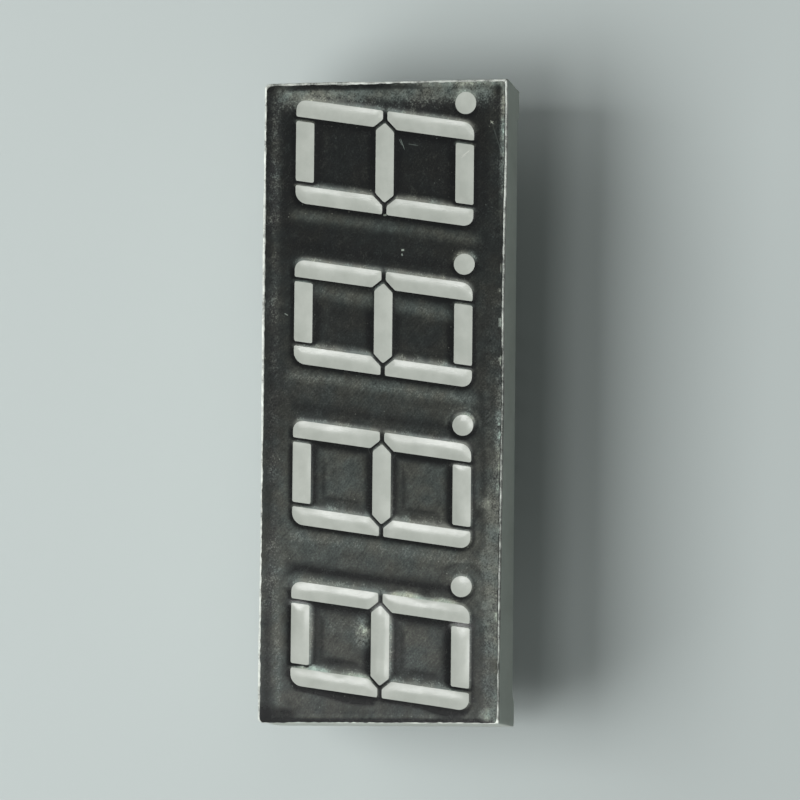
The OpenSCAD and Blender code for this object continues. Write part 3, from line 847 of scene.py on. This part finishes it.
# Hairlines on the face: middle x and y in mm, angle in degrees, length and width in mm, and strength.
HAIRLINES = ((20.35, -1.45, 20, 1.0, 0.035, 0.25), (20.5, -1.3, 28, 0.6, 0.03, 0.2),
             (20.3, -2.3, 80, 0.9, 0.06, 0.08), (20.5, -9.05, 198, 3.2, 0.05, 0.05),
             (22.05, -8.55, 40, 0.4, 0.05, 0.35), (22.05, -8.55, 120, 0.3, 0.05, 0.3),
             (6.9, 7.7, 60, 0.35, 0.05, 0.3), (-3.3, 1.2, 20, 2.2, 0.05, 0.03),
             (11.97, -1.55, 95, 0.25, 0.1, 0.5), (11.6, -1.5, 20, 0.2, 0.08, 0.3),
             (14.75, -0.1, 95, 0.3, 0.1, 0.3))
# The same over the windows.
WINDOW_SCRATCHES = ((19.6, -6.5, 128, 0.8, 0.05, 0.8), (19.35, -6.3, 120, 0.5, 0.03, 0.5),
                    (-20.4, -3.9, 60, 0.9, 0.05, 0.4))


def scratch(tree, x, y, angle, length, width, strength):
    """One hairline of a table above: its mask times its strength."""
    return place_group(tree, "hairline", X=x * MM, Y=y * MM, Angle=math.radians(angle), Length=length * MM,
                       Width=width * MM) * strength


def surface(tree, colour, roughness, height=None, lift=0.0, **constants):
    """The Principled surface of a material. Constants go on its own sockets; lift is the bump's height."""
    shader = add(tree, "ShaderNodeBsdfPrincipled", Base_Color=colour, Roughness=roughness)
    for key, value in constants.items():
        shader.inputs[key.replace("_", " ")].default_value = value
    if height is not None:
        bump = add(tree, "ShaderNodeBump", Distance=lift, Height=height)
        tree.links.new(bump.outputs["Normal"], shader.inputs["Normal"])
    out = tree.nodes.new("ShaderNodeOutputMaterial")
    tree.links.new(shader.outputs["BSDF"], out.inputs["Surface"])


def attribute(tree, name):
    return Value(tree, add(tree, "ShaderNodeAttribute", attribute_name=name).outputs["Fac"])


def film_material(settings):
    """Black screen print: clean ink, greyed by a mask of dust and wear with painted shade and highlights, with
    a leathery grain and specks that grow with the grit mask and a grainy white painted highlight along the
    windows."""
    material, tree = new_material("black_print")
    bloom, grit, fringe = (attribute(tree, name) for name in ("bloom", "grit", "fringe"))
    grain = fine_grain(tree, 8200.0, 0.3)
    centred = grain - 0.5
    peaks = (grain - 0.54).clamped(5.0)
    fibres = noise(tree, 6500.0, 2.0, stretch=(8, 1, 1), turn=math.radians(-40)) - 0.5
    swing = centred * (2.0 + grit * 5.0) + fibres * 1.1
    grown = bloom * (1.0 + swing)
    grown = grown.run("MAXIMUM", grown, 0.0)
    grown = grown + peaks * (0.015 + grit.run("POWER", grit, 2.0) * 0.14)
    # painted highlight along the lit edge of each window
    grown = grown + fringe * (0.12 + peaks * 0.32)
    grown = grown + dust_specks(tree, 1900.0, 0.12, 0.47) * 0.10
    for mark in HAIRLINES:
        grown = grown + scratch(tree, *mark)
    tint = mix_colour(ramp(noise(tree, 550.0), (0.38, 0.0), (0.62, 1.0)), settings.bloom, settings.warm_bloom)
    colour = mix_colour(grown, settings.ink, tint)
    rough = 0.15 + grown * 1.5 + grit * 0.08
    height = centred * (0.25 + grit) + noise(tree, 900.0, 2.0) * 0.5
    surface(tree, colour, rough, height, lift=0.005 * MM, IOR=1.45)
    return material


def resin_material(settings):
    """Milky diffusing resin: two close greys in soft clouds with a few specks, and a glossy, wavy skin."""
    material, tree = new_material("segment_resin")
    clouds = ramp(noise(tree, 700.0, 4.0), (0.35, 0.0), (0.65, 1.0))
    colour = mix_colour(clouds, settings.window_deep, settings.window)
    grain = fine_grain(tree, 6000.0, 0.4)
    colour = mix_colour(grain * 0.22, colour, (0.2, 0.21, 0.19))
    colour = mix_colour(dust_specks(tree, 1500.0, 0.10, 0.42) * 0.25, colour, (0.7, 0.7, 0.66))
    for mark in WINDOW_SCRATCHES:
        colour = mix_colour(scratch(tree, *mark), colour, (0.75, 0.76, 0.70))
    height = noise(tree, 1300.0) + grain * 0.6
    surface(tree, colour, 0.155 + grain * 0.09, height, lift=0.004 * MM, IOR=1.58)
    return material


def plastic_material(settings):
    """Moulded off-white plastic: faint flow clouds, vertical stains, specks and a fine satin grain, with dark
    print where the ink mask lies, broken up by flecks."""
    material, tree = new_material("white_plastic")
    stains = ramp(noise(tree, 260.0, 5.0, 0.6, stretch=(1, 1, 3)), (0.42, 0.0), (0.75, 1.0))
    colour = mix_colour(stains * 0.7, settings.plastic, settings.stain)
    grain = fine_grain(tree, 3600.0, 0.3)
    colour = mix_colour(grain * 0.25, colour, settings.stain)
    colour = mix_colour(dust_specks(tree, 900.0, 0.12, 0.45) * 0.5, colour, (0.12, 0.12, 0.1))
    flecks = ramp(fine_grain(tree, 7000.0, 0.5), (0.44, 0.0), (0.60, 1.0))
    ink = attribute(tree, "ink")
    cover = ink.run("ADD", ink * 1.1, (flecks - 0.5) * (ink * 0.9), clamp=True)
    colour = mix_colour(cover, colour, (0.15, 0.162, 0.148))
    surface(tree, colour, 0.38 + grain * 0.25, grain, lift=0.006 * MM)
    return material


def potting_material(settings):
    """Cast resin: cloudy ivory with small bubbles and a glossy skin."""
    material, tree = new_material("potting_resin")
    clouds = noise(tree, 180.0, 5.0, 0.55)
    deep = tuple(0.78 * v for v in settings.potting)
    colour = mix_colour(ramp(clouds, (0.3, 0.0), (0.7, 1.0)), deep, settings.potting)
    bubbles = dust_specks(tree, 700.0, 0.2, 0.5)
    colour = mix_colour(bubbles * 0.35, colour, (0.75, 0.75, 0.7))
    rough = ramp(clouds, (0.3, 0.12), (0.7, 0.24))
    surface(tree, colour, rough, noise(tree, 420.0, 2.0) - bubbles * 0.5, lift=0.03 * MM)
    return material


def metal_material(name, bright, dull, low, high, scale, lift=0.004 * MM, metallic=1.0):
    """A metal: two tones in streaky noise, roughness that follows them, and a little unevenness."""
    material, tree = new_material(name)
    tone = noise(tree, scale, 5.0, 0.6, stretch=(1, 1, 2.5))
    colour = mix_colour(ramp(tone, (0.3, 0.0), (0.7, 1.0)), bright, dull)
    rough = ramp(tone, (0.3, low), (0.7, high))
    surface(tree, colour, rough, noise(tree, scale * 2.5), lift=lift, Metallic=metallic)
    return material


def laminate_material():
    """Glass laminate under green lacquer: crossing yarns show through in the cut edge and the face."""
    material, tree = new_material("board_laminate")
    yarns = [add(tree, "ShaderNodeTexWave", wave_type="BANDS", bands_direction=axis, Vector=object_place(tree),
                 Scale=650.0, Distortion=1.5) for axis in ("X", "Y")]
    warp, weft = (Value(tree, yarn.outputs["Fac"]) for yarn in yarns)
    weave = warp * weft
    surface(tree, mix_colour(weave, (0.03, 0.11, 0.05), (0.07, 0.20, 0.10)), 0.35, weave, lift=0.01 * MM)
    return material


# ---------------------------------------------------------------- operators

def finish(piece, material):
    """Gives a CAD node its finish."""
    piece.data.materials.clear()
    piece.data.materials.append(material)


class DISPLAY_OT_film(bpy.types.Operator):
    """Printed black film over the face, sunk round the windows, with the milky windows in it"""
    bl_idname = "display.film"
    bl_label = "Printed film and windows"

    def execute(self, context):
        settings = context.scene.display_film
        face = Face(settings)
        a, b, c, d, odd = grid_corners(*face.x.shape)
        # every second cell is split along its other diagonal
        first = np.where(odd, np.stack([a, b, d], -1), np.stack([a, b, c], -1))
        second = np.where(odd, np.stack([b, c, d], -1), np.stack([a, c, d], -1))
        (p, q, share), inner, outer = split_triangles(np.concatenate([first, second]), face.window.ravel())
        x, y = face.flat(settings.ragged / MM)

        def on_sheet(values):
            """A field at every grid point and at every new point on the windows' outlines."""
            values = np.asarray(values).ravel()
            return np.concatenate([values, values[p] + share * (values[q] - values[p])])

        sheet = np.stack([on_sheet(x), on_sheet(y), FACE_Z + on_sheet(face.height)], -1)
        points, faces, source = closed_slab(sheet, outer, FILM[0][2] + UNDERSIDE_LIFT)
        masks = {"bloom": face.bloom, "grit": face.grit, "fringe": face.fringe}
        put_mesh("printed_film", points, faces, film_material(settings), replaces=("face_mask",),
                 masks={name: on_sheet(field)[source] for name, field in masks.items()})
        milky = resin_material(context.scene.display_resin)
        owner = np.argmin(np.stack([face.windows[k].ravel() for k in DIGITS]), axis=0)
        owner = np.concatenate([owner, owner[p]])
        for k, digit in enumerate(DIGITS):
            points, faces, _ = closed_slab(sheet, inner[owner[inner[:, 0]] == k], WINDOW_FLOOR)
            put_mesh(f"windows_{digit}", points, faces, milky)
        for name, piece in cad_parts.items():
            if "_segment_" in name or name.endswith("_dot"):
                finish(piece, milky)
        return {"FINISHED"}


def wall_path(step):
    """The moulding's outline, counter-clockwise from its right end: four straight sides at the given step,
    each followed by a quarter circle of CORNER_R. Gives the points' x and y and the outward direction's."""
    run_l, run_w = END_X - CORNER_R, SIDE_Y - CORNER_R
    arc = np.linspace(0, math.pi / 2, 7)[1:-1]
    sides = []
    for side in range(4):
        along, across = (run_w, run_l) if side % 2 == 0 else (run_l, run_w)
        t = np.linspace(-1, 1, int(2 * along / step))
        x = np.concatenate([np.full(len(t), across + CORNER_R), across + CORNER_R * np.cos(arc)])
        y = np.concatenate([t * along, along + CORNER_R * np.sin(arc)])
        out_x = np.concatenate([np.ones(len(t)), np.cos(arc)])
        out_y = np.concatenate([np.zeros(len(t)), np.sin(arc)])
        co, si = ((1, 0), (0, 1), (-1, 0), (0, -1))[side]
        sides.append((x * co - y * si, x * si + y * co, out_x * co - out_y * si, out_x * si + out_y * co))
    return [np.concatenate(values) for values in zip(*sides)]


def wall_section():
    """The walls' section, from the inner foot round the outside to the rim and in: how far each row lies in
    from the outer face, its height as a share of the wall's, and the height to add to that."""
    quarter = np.linspace(0, math.pi / 2, 4)
    rows = ((LOW_R * (1 - np.sin(quarter)), np.zeros(4), LOW_R * (1 - np.cos(quarter))),
            (np.zeros(9), np.linspace(0.04, 0.96, 9), np.zeros(9)),
            (HIGH_R * (1 - np.cos(quarter)), np.ones(4), HIGH_R * (np.sin(quarter) - 1) + RIM_UP),
            ([0.15, 0.19, 0.22, 0.3, WALL, WALL], [1, 1, 1, 1, 1, 0.9],
             [RIM_UP, 0.075, 0.0, -0.005, -0.02, 0]),
            ([WALL, WALL, WALL, WALL - 0.05, CORNER_R], [0.6, 0.3, 0.02, 0.0, 0.0], np.zeros(5)))
    return [np.concatenate(values).astype(float) for values in zip(*rows)]


class DISPLAY_OT_walls(bpy.types.Operator):
    """Moulded walls with rounded edges, corner feet and a ragged front rim"""
    bl_idname = "display.walls"
    bl_label = "Walls and rim"

    def execute(self, context):
        """The section carried along the outline. The front flares as the face does, and the rim wanders."""
        settings = context.scene.display_walls
        px, py, nx, ny = wall_path(settings.spacing / MM)
        inset, share, extra = wall_section()
        count, rows, top = len(px), len(inset), FILM[0][2]
        base = FOOT_H * ease(END_X - FOOT_L, END_X - FOOT_L - FOOT_SLOPE, np.abs(px)) * (np.abs(ny) > 0.99)
        z = base[None, :] * (1 - share[:, None]) + top * share[:, None] + extra[:, None]
        front = ease(0.0, 1.0, share)[:, None] * np.ones(count)
        rim = ((share > 0.99) & (inset < 0.25))[:, None] * np.ones(count)
        rag = 0.008 * wander(count, 0.8, 71) + 0.008 * wander(count, 4, 72) + 0.018 * wander(count, 30, 73)
        tall = 0.010 * wander(count, 0.8, 74) + 0.010 * wander(count, 9, 75)
        # rows inside the corner's arc flare as its middle does, so that they meet in one point at the corner
        within = (inset >= CORNER_R)[:, None]
        fx, fy = (np.where(within, inner, outer) for inner, outer in zip(
            edge_flare(px - CORNER_R * nx, py - CORNER_R * ny), edge_flare(px, py)))
        # the path keeps its arc inside the corner's radius, drawn out nearly to a sharp corner along the lower
        # long side; further in it shrinks to a square corner
        sharpen = np.where(ny < 0, np.maximum(np.abs(nx), np.abs(ny)) ** -0.85, 1)
        radius = np.maximum(CORNER_R - inset, 0)[:, None] * sharpen
        shrink = np.maximum(inset - CORNER_R, 0)[:, None]
        x = (px - CORNER_R * nx) * (1 - shrink / (END_X - CORNER_R)) + radius * nx
        y = (py - CORNER_R * ny) * (1 - shrink / (SIDE_Y - CORNER_R)) + radius * ny
        rag = rag * rim * (inset[:, None] < 0.14)
        x = x + front * fx + rag * nx
        y = y + front * fy + rag * ny
        z = z + rim * tall * (extra > 0.02)[:, None]
        points, faces, kept = weld(np.stack([x, y, z], -1).reshape(-1, 3), ring_faces(rows, count))
        ink = (1 - self.clean_rim(px, nx, ny))[None, :] * ease(0.25, 0.0, top + RIM_UP - z)
        ink = ink * (share > 0.9)[:, None]
        put_mesh("moulded_walls", points, faces, plastic_material(settings),
                 replaces=("housing",), masks={"ink": ink.ravel()[kept]})
        return {"FINISHED"}

    def clean_rim(self, px, nx, ny):
        """How free of dragged ink the rim is along the outline, 0 to 1: a level for each side with wandering
        about it, and along the lower long side a few clean patches and a cleaner right half."""
        count = len(px)
        patches = sum(hump(px, at, wide) for at, wide in CLEAN_PATCHES)
        patches += ease(2, 8, px) * np.clip(0.35 + 0.35 * wander(count, 5, 76), 0, 1) + 0.25 * ease(14, 22, px)
        upper = 0.64 + 0.12 * wander(count, 2, 80)
        clean = np.where(ny < -0.5, np.clip(0.6 * patches + 0.2, 0, 1), upper)
        clean = np.where(nx > 0.5, 0.52 + 0.15 * wander(count, 2, 77), clean)
        clean = np.where(nx < -0.5, 0.85 + 0.15 * wander(count, 2, 78), clean)
        return np.clip(clean * (1 + 0.14 * wander(count, 0.8, 79)), 0.0, 1)


class DISPLAY_OT_inside(bpy.types.Operator):
    """Finishes of the board, its copper, dies and wires, the pins, solder and potting"""
    bl_idname = "display.inside"
    bl_label = "Board, pins and potting"

    def execute(self, context):
        resin = context.scene.display_resin
        # start of the nodes' names -> finish; a metal's numbers are its two tones, its least and greatest
        # roughness and the scale of its streaks
        finishes = {
            "circuit_board": laminate_material(),
            "board_copper": metal_material("copper", (0.72, 0.40, 0.26), (0.42, 0.22, 0.14), 0.3, 0.5, 900),
            "led_dies": metal_material("semiconductor", (0.55, 0.20, 0.12), (0.35, 0.12, 0.08), 0.2, 0.4, 4000,
                                       metallic=0.2),
            "bond_wires": metal_material("gold_wire", (0.95, 0.68, 0.30), (0.80, 0.52, 0.22), 0.2, 0.35, 5000),
            "pin_": metal_material("tinned_steel", (0.88, 0.88, 0.85), (0.64, 0.64, 0.61), 0.24, 0.42, 1500,
                                   lift=0.003 * MM),
            "solder_joints": metal_material("solder", (0.86, 0.86, 0.84), (0.60, 0.60, 0.58), 0.25, 0.5, 1200),
            "potting": potting_material(resin),
        }
        self.pour_skin(finishes["potting"], resin.spacing / MM, resin.creep / MM)
        for name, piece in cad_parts.items():
            for start, material in finishes.items():
                if name.startswith(start):
                    finish(piece, material)
        return {"FINISHED"}

    def pour_skin(self, material, step, creep):
        """Skin of the poured resin in the back pocket. It lies a little below the resin's plane and creeps
        further down by creep x exp(-distance / WALL_CREEP) at the walls, by 0.8 of that over PIN_CREEP at each
        pin, and by faint waves elsewhere."""
        low, high = POTTING
        across, along = (high[:2] - low[:2]) / 2
        middle = (high[:2] + low[:2]) / 2
        x, y = np.meshgrid(np.linspace(-across, across, int(2 * across / step) + 1),
                           np.linspace(-along, along, int(2 * along / step) + 1), indexing="ij")
        x, y = x + middle[0], y + middle[1]
        from_wall = np.minimum(across - np.abs(x - middle[0]), along - np.abs(y - middle[1]))
        from_pin = np.full(x.shape, 9.0)
        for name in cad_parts:
            if name.startswith("pin_"):
                at = np.mean(node_box(name), axis=0)
                from_pin = np.minimum(from_pin, np.hypot(x - at[0], y - at[1]) - PIN_R)
        fall = 0.02 + creep * np.exp(-from_wall / WALL_CREEP)
        fall = fall + 0.8 * creep * np.exp(-np.maximum(from_pin, 0) / PIN_CREEP)
        fall += 0.006 * cloud(x.shape, 12, 91) * ease(0, 1.5, from_wall) + 0.010 * (cloud(x.shape, 40, 92) + 2)
        a, b, c, d, _ = grid_corners(*x.shape)
        triangles = np.concatenate([np.stack([a, b, c], -1), np.stack([a, c, d], -1)])
        sheet = np.stack([x, y, low[2] - fall], -1).reshape(-1, 3)
        points, faces, _ = closed_slab(sheet, triangles, low[2] + 0.02)
        put_mesh("potting_skin", points, faces, material)


def placed(x_axis, y_axis, z_axis, place):
    """Matrix that puts something at place with its own axes along the three given ones."""
    matrix = Matrix((x_axis, y_axis, z_axis)).transposed().to_4x4()
    matrix.translation = place
    return matrix


class DISPLAY_OT_stage(bpy.types.Operator):
    """Pale floor, soft light and camera"""
    bl_idname = "display.stage"
    bl_label = "Stage"

    def execute(self, context):
        scene, settings = context.scene, context.scene.display_stage
        self.floor(settings)
        world = bpy.data.worlds.new("studio")
        scene.world = world
        world.use_nodes = True
        back = world.node_tree.nodes["Background"]
        back.inputs["Color"].default_value = (*settings.air, 1)
        back.inputs["Strength"].default_value = 1.0
        # name, direction from the display, width and height in metres, level
        tilt_x, key_y, low_x, low_y = (math.tan(math.radians(v)) for v in (-12, 37, -11.5, 9))
        for lamp in (("key", (tilt_x, key_y, 1), 0.44, 0.35, settings.key_level),
                     ("low_light", (low_x, low_y, 1), 0.14, 0.115, settings.low_level),
                     ("end_light", (-3.7, 0.9, 1), 0.3, 0.3, settings.end_level),
                     ("far_light", (1.05, 1.75, 1), 0.35, 0.35, settings.far_level)):
            self.softbox(*lamp)
        self.camera(settings)
        scene.view_settings.view_transform = "Standard"
        return {"FINISHED"}

    def floor(self, settings):
        """Plain floor at the pins' tips. The camera sees it pale, and every other ray sees a darker grey."""
        level = CAD_BOX[0][2]
        mesh = bpy.data.meshes.new("floor")
        corners = [(x * FLOOR_HALF, y * FLOOR_HALF, level) for x, y in ((-1, -1), (1, -1), (1, 1), (-1, 1))]
        mesh.from_pydata(corners, [], [(0, 1, 2, 3)])
        floor = bpy.data.objects.new("floor", mesh)
        bpy.context.scene.collection.objects.link(floor)
        material, tree = new_material("floor")
        seen = Value(tree, add(tree, "ShaderNodeLightPath").outputs["Is Camera Ray"])
        surface(tree, mix_colour(seen, (0.212, 0.24, 0.23), settings.floor), 0.9, Specular_IOR_Level=0.1)
        mesh.materials.append(material)

    def softbox(self, name, direction, width, height, radiance):
        """Rectangular lamp that faces the display's middle; its power is radiance x area x pi."""
        lamp = bpy.data.lights.new(name, "AREA")
        lamp.shape = "RECTANGLE"
        lamp.size, lamp.size_y = width, height
        lamp.energy = radiance * width * height * math.pi
        piece = bpy.data.objects.new(name, lamp)
        bpy.context.scene.collection.objects.link(piece)
        away = Vector(direction).normalized()
        side = Vector((1, 0, 0))
        side = (side - away * side.dot(away)).normalized()
        piece.matrix_world = placed(side, away.cross(side), away, away * LAMP_AWAY + Vector((0, 0, 0.008)))

    def camera(self, settings):
        """Camera at CAMERA_AT that looks at CAMERA_AIM with the display's +x up, turned about its own axis."""
        camera = bpy.data.objects.new("camera", bpy.data.cameras.new("camera"))
        bpy.context.scene.collection.objects.link(camera)
        place, target = (Vector(v) * MM for v in (CAMERA_AT, CAMERA_AIM))
        forward = (target - place).normalized()
        level = Vector((1, 0, 0))
        level = (level - forward * level.dot(forward)).normalized()
        up = level * math.cos(settings.turn) + forward.cross(level) * math.sin(settings.turn)
        camera.matrix_world = placed(forward.cross(up), up, -forward, place)
        camera.data.lens = settings.lens
        camera.data.sensor_width = 36
        camera.data.clip_start, camera.data.clip_end = 0.01, 20
        bpy.context.scene.camera = camera


class DISPLAY_PT_pieces(bpy.types.Panel):
    """The settings of every piece, and the operators that make them"""
    bl_label = "Display module"
    bl_idname = "DISPLAY_PT_pieces"
    bl_space_type = "VIEW_3D"
    bl_region_type = "UI"
    bl_category = "Display"

    def draw(self, context):
        for key in SETTING_GROUPS:
            group = getattr(context.scene, f"display_{key}")
            box = self.layout.box()
            for name in group.bl_rna.properties.keys():
                if name not in ("rna_type", "name"):
                    box.prop(group, name)
        for operator in OPERATORS:
            self.layout.operator(operator.bl_idname)


OPERATORS = (DISPLAY_OT_film, DISPLAY_OT_walls, DISPLAY_OT_inside, DISPLAY_OT_stage)
CLASSES = (*SETTING_GROUPS.values(), *OPERATORS, DISPLAY_PT_pieces)


def register():
    for cls in CLASSES:
        bpy.utils.register_class(cls)
    for key, cls in SETTING_GROUPS.items():
        setattr(bpy.types.Scene, f"display_{key}", PointerProperty(type=cls))


def unregister():
    for key in SETTING_GROUPS:
        delattr(bpy.types.Scene, f"display_{key}")
    for cls in reversed(CLASSES):
        bpy.utils.unregister_class(cls)


def main():
    register()
    SHARED.update(fine_grain=grain_group(), dust_specks=speck_group(), hairline=hairline_group())
    bpy.ops.display.film()
    bpy.ops.display.walls()
    bpy.ops.display.inside()
    bpy.ops.display.stage()


if __name__ == "__main__":
    main()
